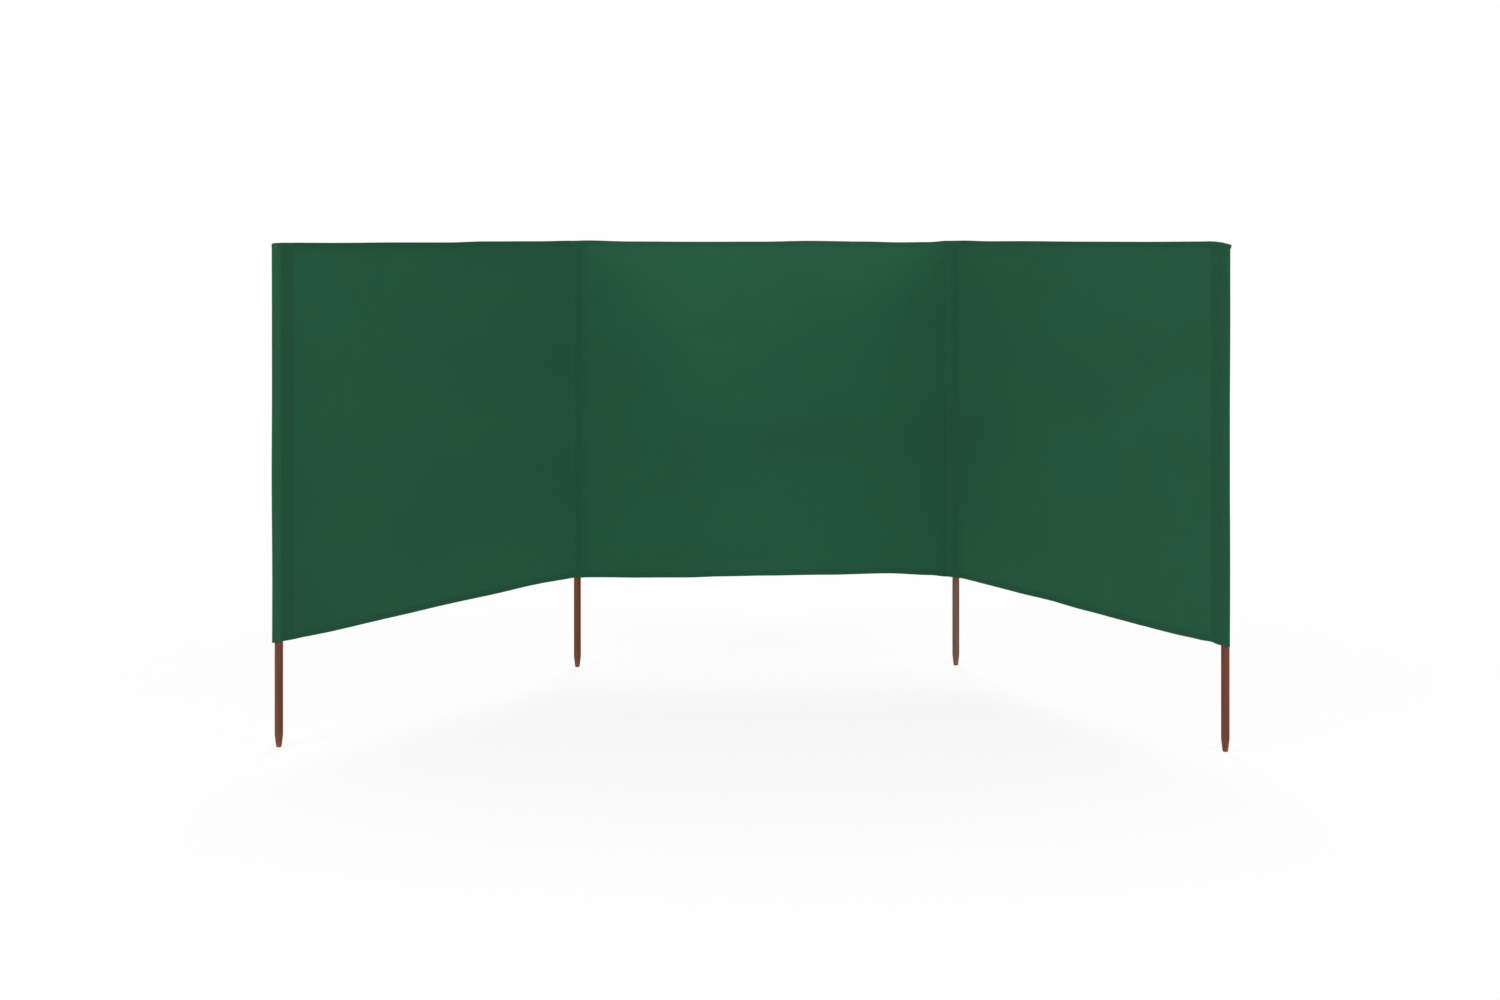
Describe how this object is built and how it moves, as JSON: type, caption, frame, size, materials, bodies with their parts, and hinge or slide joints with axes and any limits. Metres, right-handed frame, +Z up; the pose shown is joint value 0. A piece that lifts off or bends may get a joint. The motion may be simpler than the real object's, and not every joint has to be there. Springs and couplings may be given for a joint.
{
  "type": "beach windbreak",
  "caption": "Folding beach windbreak of plain green cloth on wooden poles, its side bays swung forward of the centre one.",
  "frame": {"origin": "centre of the flat tip of the inner left pole", "axes": "+X along the centre bay's cloth towards the inner right pole, +Y towards the back, away from the side bays, +Z up"},
  "size_m": [2.8651, 1.2337, 1.5203],
  "materials": {
    "green_cloth": "matt plain weave",
    "stained_wood": "brown stain with a slight sheen"
  },
  "bodies": {
    "inner_left_post": {"inner_left_pole": "stained_wood", "inner_left_pocket": "green_cloth", "inner_left_pocket_top": "green_cloth"},
    "centre_bay": {"centre_panel": "green_cloth", "centre_top_hem": "green_cloth", "centre_bottom_hem": "green_cloth"},
    "inner_right_post": {"inner_right_pole": "stained_wood", "inner_right_pocket": "green_cloth", "inner_right_pocket_top": "green_cloth"},
    "left_bay": {"left_panel": "green_cloth", "left_top_hem": "green_cloth", "left_bottom_hem": "green_cloth", "outer_left_pole": "stained_wood", "outer_left_pocket": "green_cloth", "outer_left_pocket_top": "green_cloth"},
    "right_bay": {"right_panel": "green_cloth", "right_top_hem": "green_cloth", "right_bottom_hem": "green_cloth", "outer_right_pole": "stained_wood", "outer_right_pocket": "green_cloth", "outer_right_pocket_top": "green_cloth"}
  },
  "joints": [
    {"name": "left_bay_bend", "type": "hinge", "parent": "inner_left_post", "child": "left_bay", "pos_m": [-0.02145, -0.02416, 0], "axis": [0, 0, 1], "range_deg": [-71, 55]},
    {"name": "centre_bay_bend", "type": "hinge", "parent": "inner_left_post", "child": "centre_bay", "pos_m": [0.0322, 0.0027, 0], "axis": [0, 0, -1], "range_deg": [-71, 55]},
    {"name": "inner_right_post_bend", "type": "hinge", "parent": "centre_bay", "child": "inner_right_post", "pos_m": [1.3272, 0.0027, 0], "axis": [0, 0, 1], "range_deg": [-14, 112]},
    {"name": "right_bay_bend", "type": "hinge", "parent": "inner_right_post", "child": "right_bay", "pos_m": [1.37865, -0.02815, 0], "axis": [0, 0, 1], "range_deg": [-14, 112]}
  ]
}
